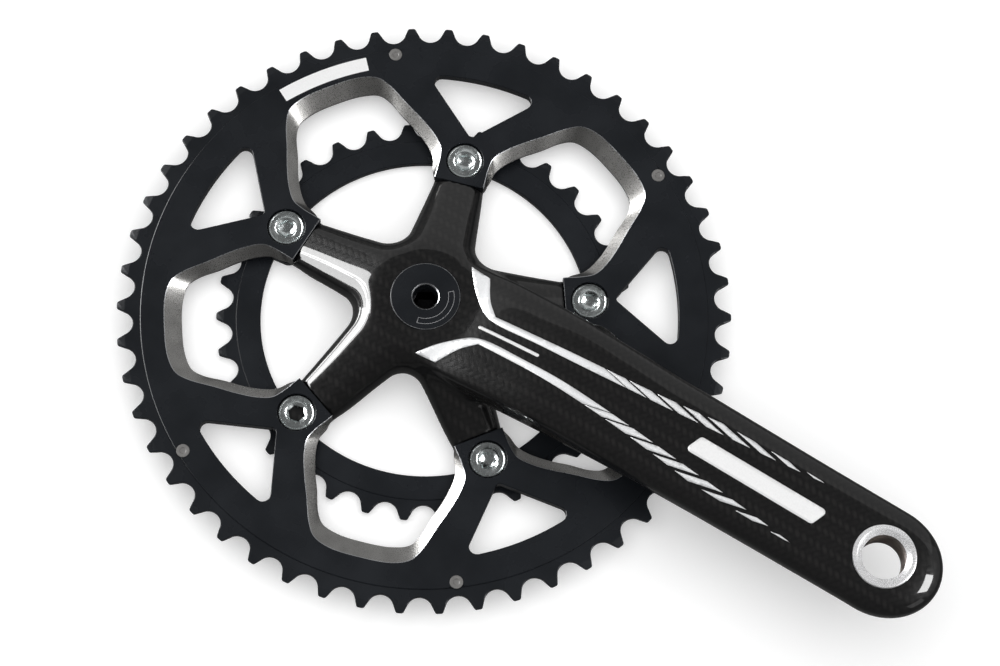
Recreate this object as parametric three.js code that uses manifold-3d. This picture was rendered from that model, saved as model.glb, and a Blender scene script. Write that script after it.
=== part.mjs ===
// Drive-side carbon crank arm with its two chainrings, lying face up.
// Millimetres. X runs from the crank axis to the pedal hole, Z is the crank axis and points
// outboard, and the origin is on that axis in the inboard face of the spindle boss.
import * as THREE from "three";
import { ParametricGeometry } from "three/addons/geometries/ParametricGeometry.js";
import { mergeVertices } from "three/addons/utils/BufferGeometryUtils.js";
import Module from "manifold-3d";

const wasm = await Module();
wasm.setup();

// ---- Driving dimensions ------------------------------------------------------------------
const CRANK_LENGTH = 170;
const CHAIN_PITCH = 12.7;
const ROLLER_SEAT = 4.3; // radius of the valley that a chain roller sits in
const OUTER_TEETH = 50;
const INNER_TEETH = 34;
const ARMS = 5;
const BOLT_CIRCLE = 55; // radius: the five bolts stand on a 110 mm circle
const FIRST_BOLT = THREE.MathUtils.degToRad(36);
const SECTOR = (2 * Math.PI) / ARMS;
const GAP = 0.3; // room between pieces that touch
const OVERCUT = 1; // how far a cutting tool runs past the face it opens

// Chainrings: heights from the inboard face of the boss, radii of the step and the tooth tips,
// and the angle of the first valley in degrees
const OUTER_RING = {
  back: 7.3, front: 11, toothBack: 8.4, toothFront: 10.5, step: 94.5, tip: 102.3, valley: 5.91,
};
const INNER_RING = {
  back: 1, front: 3.7, toothBack: 1.3, toothFront: 3.3, step: 63.2, tip: 69.8, valley: 5.22,
  hole: 55, tabEnd: 47.5, tabCorner: 3, tabRoot: 2,
};
const TOOTH_LAND = 2.3;
const SEAT_SWEEP = THREE.MathUtils.degToRad(65); // half of the valley's arc
const BEVEL_FOOT = 8.4; // height where a window's bevel meets its square back edge

// Carbon body
const HUB = { bottom: 14, top: 26 };
const BOSS = { radius: 18.5, back: 0.8 };
const SPIDER_TAB = { back: 4, front: 7, halfWidth: 8.5, inner: 40 };
const TAB_END = 46.8; // where the outer ring's tabs stop and the carbon begins
const ARM_END_RADIUS = 20; // the rounded end, from the pedal hole's axis

// Metal pieces on the crank axis and in the pedal end
const INSERT = {
  radius: 14.6, top: 23.4, seat: 14, web: 12, boltHole: 7.9, thread: 10.9,
  splines: 10, splineRoot: 10.6, splineCrest: 9.4,
};
const CRANK_BOLT = {
  end: 4, shank: 7.4, headBottom: 15.8, top: 19.2, head: 8.8, socketFloor: 9, key: 8,
};
const WASHER = { hole: 7.7, radius: 10, top: 15.5 };
const CAP = { radius: 11.5, thread: 10.6, keyHole: 4.1, chamfer: 0.5 };
const PEDAL = { back: 28.9, face: 41.6, radius: 10.2, thread: 7.1 }; // 9/16 inch pedal thread

// Fasteners and pins in the chainrings
const RING_BOLT = { end: 3, shank: 3.9, seat: 9, head: 6, top: 10.4, socketFloor: 7, key: 5 };
const RING_NUT = { back: 0.3, head: 6, seat: 1.6, sleeve: 5, end: 8.5 };
const COUNTERBORE = { outer: 8.7, inner: 1.9 }; // floors under the bolt heads and nut heads
const PIN = { circle: 92.6, radius: 2.2, back: 5, head: 3.1, seat: 7, front: 11.05 };
const PIN_ANGLES = [63.6, 128.4, 243.6, 308.4];
const DROP_PIN = { circle: 87.5, back: 7.4, shank: 1.5, seat: 11.3, head: 2.6, top: 18.5 };
const EDGE = 0.4; // small chamfer on turned pieces

// ---- Materials ---------------------------------------------------------------------------
const paint = (color, roughness, metalness) =>
  new THREE.MeshStandardMaterial({ color, roughness, metalness });
const carbon = () => paint(0x17181a, 0.25, 0.0);
const blackAnodised = () => paint(0x1d2024, 0.45, 0.7);
const bareAluminium = () => paint(0xd9dcdf, 0.28, 1.0);
const platedSteel = () => paint(0xc2cbca, 0.22, 1.0);
const blackSteel = () => paint(0x222326, 0.4, 0.8);

// ---- Solids ------------------------------------------------------------------------------
// A three.js geometry as a manifold-3d solid.
function solid(geometry) {
  const bare = new THREE.BufferGeometry();
  bare.setAttribute("position", geometry.getAttribute("position"));
  bare.setIndex(geometry.index);
  const merged = mergeVertices(bare, 1e-4);
  const corners = [];
  const index = merged.index.array;
  for (let i = 0; i < index.length; i += 3) {
    const [a, b, c] = index.slice(i, i + 3);
    if (a !== b && b !== c && c !== a) corners.push(a, b, c);
  }
  return new wasm.Manifold(
    new wasm.Mesh({
      numProp: 3,
      vertProperties: merged.attributes.position.array,
      triVerts: new Uint32Array(corners),
    }),
  );
}

function toMesh(name, body, material) {
  const { vertProperties, triVerts } = body.getMesh();
  const geometry = new THREE.BufferGeometry();
  geometry.setAttribute("position", new THREE.BufferAttribute(vertProperties, 3));
  geometry.setIndex(new THREE.BufferAttribute(triVerts, 1));
  geometry.computeVertexNormals();
  const mesh = new THREE.Mesh(geometry, material);
  mesh.name = name;
  return mesh;
}

// A flat shape made into a plate between two heights.
function plate(shape, low, high, curveSegments = 12) {
  const options = { depth: high - low, bevelEnabled: false, curveSegments };
  return solid(new THREE.ExtrudeGeometry(shape, options).translate(0, 0, low));
}

// A profile of [radius, height] pairs turned about Z.
function turned(profile, segments = 32) {
  const points = profile.map(([radius, height]) => new THREE.Vector2(radius, height));
  if (THREE.ShapeUtils.area(points) < 0) points.reverse();
  return solid(new THREE.LatheGeometry(points, segments).rotateX(Math.PI / 2));
}

// A cylinder on Z.
const rod = (radius, low, high, segments = 32) =>
  turned([[0, low], [radius, low], [radius, high], [0, high]], segments);

// A prism on Z with one flat side facing the given direction.
function prism(sides, apothem, low, high, facing = 0) {
  const half = Math.PI / sides;
  const blank = rod(apothem / Math.cos(half), low, high, sides);
  return turnedBy(blank, facing + half + Math.PI / 2);
}

// A closed skin over sections that all have the same number of points.
function loft(sections) {
  const around = sections[0].length;
  const middle = (section) =>
    section.reduce((sum, p) => sum.add(p), new THREE.Vector3()).divideScalar(around);
  const last = sections.length + 1;
  const place = (u, v, target) => {
    const row = Math.round(v * last);
    if (row === 0) return target.copy(middle(sections[0]));
    if (row === last) return target.copy(middle(sections[last - 2]));
    return target.copy(sections[row - 1][Math.round(u * around) % around]);
  };
  return solid(new ParametricGeometry(place, around, last));
}

const polar = (radius, angle) => [radius * Math.cos(angle), radius * Math.sin(angle)];
const degrees = (radians) => THREE.MathUtils.radToDeg(radians);
const turnedBy = (body, angle) => body.rotate([0, 0, degrees(angle)]);
const boltAngle = (k) => FIRST_BOLT + k * SECTOR;
const aroundBolts = (make) =>
  Array.from({ length: ARMS }, (_, k) => turnedBy(make(k), boltAngle(k)));
const union = (bodies) => bodies.reduce((whole, body) => whole.add(body));

// ---- Chainrings --------------------------------------------------------------------------
// The toothed outline: a roller seat in each valley and a short flat land on each tooth.
function toothedOutline(teeth, valleyDegrees, tipRadius) {
  const firstValley = THREE.MathUtils.degToRad(valleyDegrees);
  const pitchRadius = CHAIN_PITCH / 2 / Math.sin(Math.PI / teeth);
  const step = (2 * Math.PI) / teeth;
  const landAngle = TOOTH_LAND / 2 / tipRadius;
  const outline = new THREE.Shape();
  for (let k = 0; k < teeth; k += 1) {
    const valley = firstValley + k * step;
    const [x, y] = polar(pitchRadius, valley);
    const inward = valley + Math.PI;
    outline.absarc(x, y, ROLLER_SEAT, inward + SEAT_SWEEP, inward - SEAT_SWEEP, true);
    const tooth = valley + step / 2;
    outline.lineTo(...polar(tipRadius, tooth - landAngle));
    outline.lineTo(...polar(tipRadius, tooth + landAngle));
  }
  outline.closePath();
  return outline;
}

// Half of a window between two spokes of the outer ring, measured along and across the line
// from the crank axis through the window's middle: its front edge and its back edge, with the
// bevel between them. The last point is where the window opens to the middle of the ring.
const WINDOW_FRONT = [
  [86.3, 0], [85.6, 10.5], [83.3, 16], [79.5, 18.6], [70.7, 21.8],
  [64.3, 24.2], [57.7, 26.1], [52.4, 26.5], [48.7, 24.8], [42.9, 20.6],
];
const WINDOW_BACK = [
  [80.8, 0], [80.2, 9], [78.2, 14.6], [74.5, 17.1], [67.5, 19.3],
  [60.9, 21.7], [54.3, 23.1], [50.1, 23], [46.2, 21.4], [42.9, 20.6],
];
const WINDOW_INNER_END = 34;

function windowSection(half, height) {
  const side = half.slice(1);
  const far = side.slice().reverse().map(([x, y]) => [x, -y]);
  const points = [half[0], ...side, [WINDOW_INNER_END, 0], ...far];
  return points.map(([x, y]) => new THREE.Vector3(x, y, height));
}

function ringWindow() {
  const above = OUTER_RING.front + OVERCUT;
  const below = OUTER_RING.back - OVERCUT;
  return loft([
    windowSection(WINDOW_BACK, below),
    windowSection(WINDOW_BACK, BEVEL_FOOT),
    windowSection(WINDOW_FRONT, OUTER_RING.front),
    windowSection(WINDOW_FRONT, above),
  ]);
}

// The three-cornered window between the two legs of a spoke, on the bolt's own line.
const SPOKE_WINDOW = { apex: 63.6, tip: [64.4, 1.2], legEnd: [78.6, 15.6], corner: [82.2, 18.5] };
const SPOKE_WINDOW_RIM = { radius: 84.4, halfAngle: Math.atan2(13.6, 83.3) };

function spokeWindow() {
  const { apex, tip, legEnd, corner } = SPOKE_WINDOW;
  const { radius, halfAngle } = SPOKE_WINDOW_RIM;
  const shape = new THREE.Shape();
  shape.moveTo(tip[0], -tip[1]);
  shape.lineTo(legEnd[0], -legEnd[1]);
  shape.quadraticCurveTo(corner[0], -corner[1], ...polar(radius, -halfAngle));
  shape.absarc(0, 0, radius, -halfAngle, halfAngle, false);
  shape.quadraticCurveTo(...corner, ...legEnd);
  shape.lineTo(...tip);
  shape.quadraticCurveTo(apex, 0, tip[0], -tip[1]);
  return plate(shape, OUTER_RING.back - OVERCUT, OUTER_RING.front + OVERCUT, 5);
}

const circle = (radius, x = 0, y = 0) => {
  const shape = new THREE.Shape();
  shape.absarc(x, y, radius, 0, 2 * Math.PI, false);
  return shape;
};

// A stepped hole for a chainring bolt or nut: its head's counterbore and its sleeve's bore.
function boltHole(head, bore, segments = 16) {
  const counterbore = rod(RING_BOLT.head + GAP, ...head, segments);
  return counterbore.add(rod(RING_NUT.sleeve + GAP, ...bore, segments)).translate([BOLT_CIRCLE, 0, 0]);
}

function outerChainring() {
  const { back, front, toothBack, toothFront, step, tip, valley } = OUTER_RING;
  const low = back - OVERCUT;
  const high = front + OVERCUT;
  const teeth = plate(toothedOutline(OUTER_TEETH, valley, tip), toothBack, toothFront, 4);
  const blank = teeth.add(plate(circle(step), back, front, 36));
  const pinHole = rod(PIN.radius + GAP, low, high, 16).translate([PIN.circle, 0, 0]);
  const dropHole = rod(DROP_PIN.shank + GAP, low, high, 12).translate([DROP_PIN.circle, 0, 0]);
  const cuts = [
    prism(ARMS, TAB_END, low, high, boltAngle(0)),
    ...aroundBolts(spokeWindow),
    ...aroundBolts(() => turnedBy(ringWindow(), SECTOR / 2)),
    ...aroundBolts(() => boltHole([COUNTERBORE.outer, high], [low, front])),
    ...PIN_ANGLES.map((angle) => pinHole.rotate([0, 0, angle])),
    dropHole,
  ];
  return blank.subtract(union(cuts));
}

// One tab of the inner ring, from inside its annulus to its rounded end.
function innerTab() {
  const { hole, tabEnd, tabCorner, tabRoot } = INNER_RING;
  const root = hole + tabCorner;
  const square = tabEnd + tabCorner;
  const half = SPIDER_TAB.halfWidth;
  const tab = new THREE.Shape();
  tab.moveTo(square, -half);
  tab.lineTo(root, -half - tabRoot);
  tab.lineTo(root, half + tabRoot);
  tab.lineTo(square, half);
  tab.quadraticCurveTo(tabEnd, half, tabEnd, half - tabCorner);
  tab.lineTo(tabEnd, tabCorner - half);
  tab.quadraticCurveTo(tabEnd, -half, square, -half);
  return plate(tab, INNER_RING.back, INNER_RING.front, 4);
}

function innerChainring() {
  const { back, front, toothBack, toothFront, step, tip, valley, hole } = INNER_RING;
  const low = back - OVERCUT;
  const high = front + OVERCUT;
  const teeth = plate(toothedOutline(INNER_TEETH, valley, tip), toothBack, toothFront, 4);
  return teeth
    .add(plate(circle(step), back, front, 28))
    .subtract(rod(hole, low, high, 60))
    .add(union(aroundBolts(innerTab)))
    .subtract(union(aroundBolts(() => boltHole([low, COUNTERBORE.inner], [back, high]))));
}

// ---- Carbon crank arm and spider ---------------------------------------------------------
// Sections of the arm: distance from the crank axis, half width, underside and face.
const ARM_STATIONS = [
  [6, 17, 14.5, 24.5],
  [14, 19.2, 14.2, 26.6],
  [22, 19.8, 14.4, 29.6],
  [34, 19.6, 16, 33.4],
  [48, 19.3, 18.4, 37],
  [62, 19, 20.6, 38.8],
  [85, 18.5, 23.4, 39.8],
  [115, 18, 25.8, 40.4],
  [145, 17.7, 27.4, 40.8],
  [165, 17.6, 28.6, 41.2],
];
const SECTION_POINTS = 20;
const SQUARENESS = 3; // 2 is an ellipse, more is squarer
const END_TURNS = [12, 30, 45, 58, 69, 78, 85]; // degrees round the rounded end
const END_ROUNDING = { width: 0.85, height: 0.4 }; // powers of the cosine: less is blunter

function armSection([x, halfWidth, bottom, top]) {
  const middle = (top + bottom) / 2;
  const halfHeight = (top - bottom) / 2;
  const squared = (value) => Math.sign(value) * Math.abs(value) ** (2 / SQUARENESS);
  return Array.from({ length: SECTION_POINTS }, (_, k) => {
    const angle = (2 * Math.PI * k) / SECTION_POINTS;
    const y = halfWidth * squared(Math.cos(angle));
    const z = middle + halfHeight * squared(Math.sin(angle));
    return new THREE.Vector3(x, y, z);
  });
}

function armBody() {
  const [, endHalfWidth, endBottom, endTop] = ARM_STATIONS[ARM_STATIONS.length - 1];
  const middle = (endBottom + endTop) / 2;
  const ends = END_TURNS.map((angle) => {
    const turn = THREE.MathUtils.degToRad(angle);
    const half = ((endTop - endBottom) / 2) * Math.cos(turn) ** END_ROUNDING.height;
    const x = CRANK_LENGTH + ARM_END_RADIUS * Math.sin(turn);
    return [x, endHalfWidth * Math.cos(turn) ** END_ROUNDING.width, middle - half, middle + half];
  });
  return loft([...ARM_STATIONS, ...ends].map(armSection));
}

// Sections of one spider arm: distance from the crank axis, width of the bevel on each side,
// underside, foot of the bevel and top.
const SPIDER_STATIONS = [
  [0, 3, 14, 22.8, 26],
  [14, 3, 14, 22.5, 25.6],
  [19.7, 3.2, 14, 21, 24.4],
  [22.5, 3.3, 13.6, 19.8, 23.3],
  [25.3, 3.3, 13, 18.4, 21.9],
  [30, 3.2, 11, 16.2, 19.6],
  [35, 3.2, 8.3, 13.6, 17],
  [41, 3, 5, 10.7, 13.9],
  [TAB_END - GAP, 2.6, SPIDER_TAB.back, 8.2, OUTER_RING.front],
];
const TAPER = { atAxis: 14.05, slope: 0.118 };
const FILLET = { radius: 8, x: 26.2, y: 19.05, reach: 6.5 };
const LOWER_CHAMFER = 1.5;

// Half width of a spider arm: a straight taper, with a round fillet into the next arm.
function spiderHalfWidth(x) {
  const inFillet = x < FILLET.x - FILLET.radius * TAPER.slope;
  if (!inFillet) return TAPER.atAxis - TAPER.slope * x;
  const fromCentre = Math.min(FILLET.x - x, FILLET.reach);
  return FILLET.y - Math.sqrt(FILLET.radius ** 2 - fromCentre ** 2);
}

function spiderArm() {
  const sections = SPIDER_STATIONS.map(([x, bevel, bottom, foot, top]) => {
    const half = spiderHalfWidth(x);
    const chamfer = [[half - LOWER_CHAMFER, bottom], [half, bottom + LOWER_CHAMFER]];
    const side = [...chamfer, [half, foot], [half - bevel, top]];
    const mirrored = side.slice().reverse().map(([y, z]) => [-y, z]);
    return [...side, ...mirrored].map(([y, z]) => new THREE.Vector3(x, y, z));
  });
  const { back, front, halfWidth, inner } = SPIDER_TAB;
  const tab = new THREE.Shape();
  tab.moveTo(inner, -halfWidth);
  tab.absarc(BOLT_CIRCLE, 0, halfWidth, -Math.PI / 2, Math.PI / 2, false);
  tab.lineTo(inner, halfWidth);
  tab.closePath();
  return loft(sections).add(plate(tab, back, front, 10));
}

function crankArm() {
  const boss = rod(BOSS.radius, BOSS.back, HUB.bottom + OVERCUT);
  const body = union([armBody(), boss, ...aroundBolts(spiderArm)]);
  const tabHole = rod(RING_NUT.sleeve + GAP, SPIDER_TAB.back - OVERCUT, SPIDER_TAB.front + OVERCUT, 16);
  const pedalHole = rod(PEDAL.radius + GAP, HUB.top, PEDAL.face + OVERCUT);
  const cuts = [
    rod(INSERT.radius + GAP, -OVERCUT, INSERT.top + GAP),
    rod(CAP.radius + GAP, INSERT.top, PEDAL.face),
    pedalHole.translate([CRANK_LENGTH, 0, 0]),
    ...aroundBolts(() => tabHole.translate([BOLT_CIRCLE, 0, 0])),
  ];
  return body.subtract(union(cuts));
}

// ---- Metal pieces in the hub and the pedal end -------------------------------------------
// The spindle socket's mouth: ten splines, as corners in shares of a half pitch.
function splineShape() {
  const { splines, splineRoot, splineCrest } = INSERT;
  const half = Math.PI / splines;
  const crestShare = 0.55;
  const rootShare = 0.3;
  const shape = new THREE.Shape();
  for (let k = 0; k < splines; k += 1) {
    const angle = 2 * k * half;
    const corners = [
      [splineCrest, angle - crestShare * half],
      [splineRoot, angle - rootShare * half],
      [splineRoot, angle + rootShare * half],
      [splineCrest, angle + crestShare * half],
    ];
    corners.forEach(([radius, at], i) => {
      const point = polar(radius, at);
      if (k === 0 && i === 0) shape.moveTo(...point);
      else shape.lineTo(...point);
    });
  }
  shape.closePath();
  return shape;
}

function spindleInsert() {
  const { radius, top, seat, web, boltHole: hole, thread } = INSERT;
  return rod(radius, 0, top)
    .subtract(plate(splineShape(), -OVERCUT, web))
    .subtract(rod(hole, web - OVERCUT, seat + OVERCUT, 24))
    .subtract(rod(thread, seat, top + OVERCUT));
}

function crankBolt() {
  const { end, shank, headBottom, top, head, socketFloor, key } = CRANK_BOLT;
  const chamfer = 2 * EDGE;
  return turned([
    [0, end], [shank - chamfer, end], [shank, end + chamfer], [shank, headBottom],
    [head, headBottom], [head, top - EDGE], [head - EDGE, top], [0, top],
  ], 24).subtract(prism(6, key / 2, socketFloor, top + OVERCUT));
}

function washer() {
  const low = INSERT.seat + GAP;
  const { hole, radius, top } = WASHER;
  return turned([[hole, low], [radius, low], [radius, top], [hole, top], [hole, low]], 24);
}

function extractorCap() {
  const flangeBottom = INSERT.top + GAP;
  const low = CRANK_BOLT.top + GAP;
  const { radius, thread, keyHole, chamfer } = CAP;
  return turned([
    [keyHole, low], [thread, low], [thread, flangeBottom], [radius, flangeBottom],
    [radius, HUB.top - chamfer], [radius - chamfer, HUB.top], [keyHole + chamfer, HUB.top],
    [keyHole, HUB.top - chamfer], [keyHole, low],
  ]);
}

function pedalInsert() {
  const { back, face, radius, thread } = PEDAL;
  return turned([
    [thread, back], [radius, back], [radius, face - EDGE], [radius - EDGE, face],
    [thread + OVERCUT, face], [thread, face - OVERCUT], [thread, back],
  ]);
}

// ---- Fasteners and pins ------------------------------------------------------------------
function chainringBolt() {
  const { end, shank, seat, head, top, socketFloor, key } = RING_BOLT;
  return turned([
    [0, end], [shank, end], [shank, seat], [head, seat], [head, top - EDGE], [head - EDGE, top], [0, top],
  ], 16).subtract(prism(6, key / 2, socketFloor, top + OVERCUT));
}

function chainringNut() {
  const { back, head, seat, sleeve, end } = RING_NUT;
  const thread = RING_BOLT.shank + GAP;
  return turned([
    [thread, back], [head - EDGE, back], [head, back + EDGE], [head, seat],
    [sleeve, seat], [sleeve, end], [thread, end], [thread, back],
  ], 16);
}

function shiftPin() {
  const { radius, back, head, seat, front } = PIN;
  return turned([
    [0, back], [head - EDGE, back], [head, back + EDGE], [head, seat],
    [radius, seat], [radius, front], [0, front],
  ], 16);
}

function dropPin() {
  const { back, shank, seat, head, top } = DROP_PIN;
  return turned([
    [0, back], [shank, back], [shank, seat], [head, seat],
    [head, top - EDGE], [head - EDGE, top], [0, top],
  ], 16);
}

// ---- Assembly ----------------------------------------------------------------------------
const crankset = new THREE.Group();
crankset.add(toMesh("crank_arm", crankArm(), carbon()));
crankset.add(toMesh("outer_chainring", outerChainring(), blackAnodised()));
crankset.add(toMesh("inner_chainring", innerChainring(), blackAnodised()));
crankset.add(toMesh("spindle_insert", spindleInsert(), bareAluminium()));
crankset.add(toMesh("crank_bolt_washer", washer(), platedSteel()));
crankset.add(toMesh("crank_bolt", crankBolt(), blackSteel()));
crankset.add(toMesh("extractor_cap", extractorCap(), blackAnodised()));

const pedal = toMesh("pedal_insert", pedalInsert(), bareAluminium());
pedal.position.x = CRANK_LENGTH;
crankset.add(pedal);

const drop = toMesh("chain_drop_pin", dropPin(), platedSteel());
drop.position.x = DROP_PIN.circle;
crankset.add(drop);

for (let k = 0; k < ARMS; k += 1) {
  const station = new THREE.Group();
  station.rotation.z = boltAngle(k);
  const bolt = toMesh("chainring_bolt_" + (k + 1), chainringBolt(), platedSteel());
  const nut = toMesh("chainring_nut_" + (k + 1), chainringNut(), platedSteel());
  bolt.position.x = BOLT_CIRCLE;
  nut.position.x = BOLT_CIRCLE;
  station.add(bolt, nut);
  crankset.add(station);
}

PIN_ANGLES.forEach((angle, k) => {
  const station = new THREE.Group();
  station.rotation.z = THREE.MathUtils.degToRad(angle);
  const pin = toMesh("shift_pin_" + (k + 1), shiftPin(), platedSteel());
  pin.position.x = PIN.circle;
  station.add(pin);
  crankset.add(station);
});

export default crankset;
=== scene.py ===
import math

import bmesh
import bpy
import numpy as np
from mathutils import Matrix, Vector
from mathutils.bvhtree import BVHTree
from mathutils.geometry import delaunay_2d_cdt

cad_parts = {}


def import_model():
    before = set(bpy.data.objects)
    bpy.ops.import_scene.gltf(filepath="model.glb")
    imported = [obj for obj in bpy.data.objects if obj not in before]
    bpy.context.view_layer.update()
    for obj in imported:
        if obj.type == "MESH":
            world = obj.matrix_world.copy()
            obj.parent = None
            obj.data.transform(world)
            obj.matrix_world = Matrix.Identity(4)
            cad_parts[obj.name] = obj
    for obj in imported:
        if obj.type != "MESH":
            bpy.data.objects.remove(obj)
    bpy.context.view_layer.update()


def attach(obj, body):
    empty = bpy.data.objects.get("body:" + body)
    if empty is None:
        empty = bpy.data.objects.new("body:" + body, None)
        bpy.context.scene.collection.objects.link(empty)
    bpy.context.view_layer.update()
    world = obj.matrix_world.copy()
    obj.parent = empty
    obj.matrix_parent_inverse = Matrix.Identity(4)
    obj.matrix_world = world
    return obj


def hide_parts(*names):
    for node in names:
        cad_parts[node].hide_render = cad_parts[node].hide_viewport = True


# A drive-side carbon crank with two chainrings, lying face up. Lengths here are millimetres in
# the part's own frame: X from the crank axis to the pedal hole, Z outboard along the crank axis.
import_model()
MM = 0.001
CRANK = "crank"
CAPTIVE_BOLT = "captive_bolt"

# ---- Driving dimensions ----
CRANK_LENGTH = 170
CHAIN_PITCH = 12.7
ROLLER_SEAT = 4.3
SEAT_SWEEP = math.radians(65)
ARMS = 5
SECTOR = 2 * math.pi / ARMS
FIRST_BOLT = math.radians(36)
BOLT_ANGLES = [FIRST_BOLT + k * SECTOR for k in range(ARMS)]
BOLT_CIRCLE = 55
EDGE = 0.22  # small round on machined edges
SLEEVE_BORE = 5.2

OUTER = dict(teeth=50, valley=5.91, back=7.3, front=11.0, tooth_back=8.4, tooth_front=10.5,
             step=94.5, tip=102.28, chamfer_from=99.7)
INNER = dict(teeth=34, valley=5.22, back=1.0, front=3.7, tooth_back=1.3, tooth_front=3.3,
             step=63.2, tip=69.78, chamfer_from=67.4)
BEVEL_FOOT = 8.4
INNER_HOLE = 55
PIN_CIRCLE = 92.6
PIN_ANGLES = [math.radians(angle) for angle in (63.6, 128.4, 243.6, 308.4)]
DROP_PIN_CIRCLE = 87.5
HUB_TOP = 26
CAP_RADIUS = 11.5
INSERT_RADIUS = 14.6
PEDAL = dict(back=28.9, face=41.6, radius=10.2, bore=7.1, pitch=1.27)


# ---- Material nodes ----
class Nodes:
    """A node material, with short calls for the nodes that the finishes here are made of."""

    def __init__(self, name, **sockets):
        self.material = bpy.data.materials.new(name)
        self.material.use_nodes = True
        self.tree = self.material.node_tree
        self.shader = self.tree.nodes["Principled BSDF"]
        for socket, value in sockets.items():
            self.shader.inputs[socket.replace("_", " ")].default_value = value

    def node(self, kind, **properties):
        made = self.tree.nodes.new(kind)
        for key, value in properties.items():
            setattr(made, key, value)
        return made

    def link(self, source, target):
        if isinstance(source, (int, float)):
            target.default_value = source
        else:
            self.tree.links.new(source, target)

    def math(self, operation, first, second=0.0):
        made = self.node("ShaderNodeMath", operation=operation)
        for socket, value in zip(made.inputs, (first, second)):
            self.link(value, socket)
        return made.outputs[0]

    def position(self):
        """Object coordinates, as separate X, Y and Z in millimetres."""
        place = self.node("ShaderNodeTexCoord").outputs["Object"]
        split = self.node("ShaderNodeSeparateXYZ")
        self.link(place, split.inputs[0])
        return [self.math("MULTIPLY", out, 1 / MM) for out in split.outputs]

    def radius(self, x, y):
        return self.math("SQRT", self.math("ADD", self.math("MULTIPLY", x, x), self.math("MULTIPLY", y, y)))

    def noise(self, scale, detail=3.0, stretch=(1, 1, 1)):
        place = self.node("ShaderNodeTexCoord").outputs["Object"]
        mapping = self.node("ShaderNodeMapping")
        mapping.inputs["Scale"].default_value = stretch
        self.link(place, mapping.inputs["Vector"])
        made = self.node("ShaderNodeTexNoise")
        made.inputs["Scale"].default_value = scale
        made.inputs["Detail"].default_value = detail
        self.link(mapping.outputs[0], made.inputs["Vector"])
        return made.outputs["Fac"]

    def span(self, value, low, high, to_low=0.0, to_high=1.0, smooth=False):
        made = self.node("ShaderNodeMapRange")
        if smooth:
            made.interpolation_type = "SMOOTHSTEP"
        for socket, given in zip(made.inputs, (value, low, high, to_low, to_high)):
            self.link(given, socket)
        return made.outputs[0]

    def blend(self, factor, first, second):
        made = self.node("ShaderNodeMix", data_type="RGBA")
        self.link(factor, made.inputs[0])
        for socket, value in ((made.inputs[6], first), (made.inputs[7], second)):
            if isinstance(value, tuple):
                socket.default_value = (*value, 1)
            else:
                self.link(value, socket)
        return made.outputs[2]

    def bump(self, height, distance):
        """Bump from a height of 0 to 1 that stands for the given millimetres."""
        made = self.node("ShaderNodeBump")
        made.inputs["Distance"].default_value = distance * MM
        self.link(height, made.inputs["Height"])
        return made.outputs[0]

    def turning(self, place, spacing, height):
        """Fine waves along a distance, such as the marks that turning leaves."""
        wave = self.math("SINE", self.math("MULTIPLY", place, 2 * math.pi / spacing))
        return self.math("MULTIPLY", wave, height)

    def colour(self, source):
        self.link(source, self.shader.inputs["Base Color"])

    def mottle(self, noise, first, second, low=0.3, high=0.7):
        """Colours the surface from one colour to another as a noise runs from low to high."""
        self.colour(self.blend(self.span(noise, low, high), first, second))

    def roughness(self, source):
        self.link(source, self.shader.inputs["Roughness"])

    def normal(self, source):
        self.link(source, self.shader.inputs["Normal"])


def carbon_twill():
    """Clear-coated 2x2 twill: each tow floats over two others, and is crowned across its width. Its colour
    carries painted highlights: the tow crowns are paler, on faces that look up.
    """
    tow = 1.75
    turn = math.radians(45)
    n = Nodes("carbon_twill", Specular_IOR_Level=0.12, Coat_Weight=1.0, Coat_Roughness=0.04, Coat_IOR=1.5)
    x, y, _ = n.position()
    c, s = math.cos(turn) / tow, math.sin(turn) / tow
    along = n.math("ADD", n.math("MULTIPLY", x, c), n.math("MULTIPLY", y, s))
    across = n.math("SUBTRACT", n.math("MULTIPLY", y, c), n.math("MULTIPLY", x, s))
    warp = tow_float(n, along, across, 0.0)
    weft = tow_float(n, across, along, 2.0)
    fibres = n.noise(900.0, 2.0)
    facing = n.node("ShaderNodeSeparateXYZ")
    n.link(n.node("ShaderNodeTexCoord").outputs["Normal"], facing.inputs[0])
    flat = n.span(facing.outputs[2], 0.35, 0.8, smooth=True)
    # Painted highlight: the crowns' paler colour, faded out on faces that don't look up, stands for the
    # glints of light on the weave.
    painted_crown_highlight = n.math("MULTIPLY", n.math("ADD", warp, n.math("MULTIPLY", weft, 0.35)), flat)
    crown_highlight_and_fibre_tone = n.math("ADD", painted_crown_highlight, n.span(fibres, 0.3, 0.7, -0.15, 0.15))
    n.colour(n.blend(crown_highlight_and_fibre_tone, (0.0050, 0.0050, 0.0052), (0.0128, 0.0122, 0.0120)))
    n.roughness(n.span(fibres, 0.3, 0.7, 0.30, 0.42))
    n.normal(n.bump(n.math("MULTIPLY", n.math("ADD", warp, weft), flat), 0.03))
    return n.material


def tow_float(n, across, along, start):
    """How high a tow stands where it floats over two others, or 0 where it dips under."""
    step = n.math("ADD", along, n.math("FLOOR", across))
    place = n.math("SUBTRACT", n.math("FLOORED_MODULO", step, 4.0), start)
    above = n.math("MULTIPLY", n.math("GREATER_THAN", place, 0.0), n.math("LESS_THAN", place, 2.0))
    crown = n.math("SINE", n.math("MULTIPLY", n.math("FRACT", across), math.pi))
    rise = n.math("SINE", n.math("MULTIPLY", place, math.pi / 2))
    return n.math("MULTIPLY", n.math("MULTIPLY", crown, rise), above)


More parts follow.
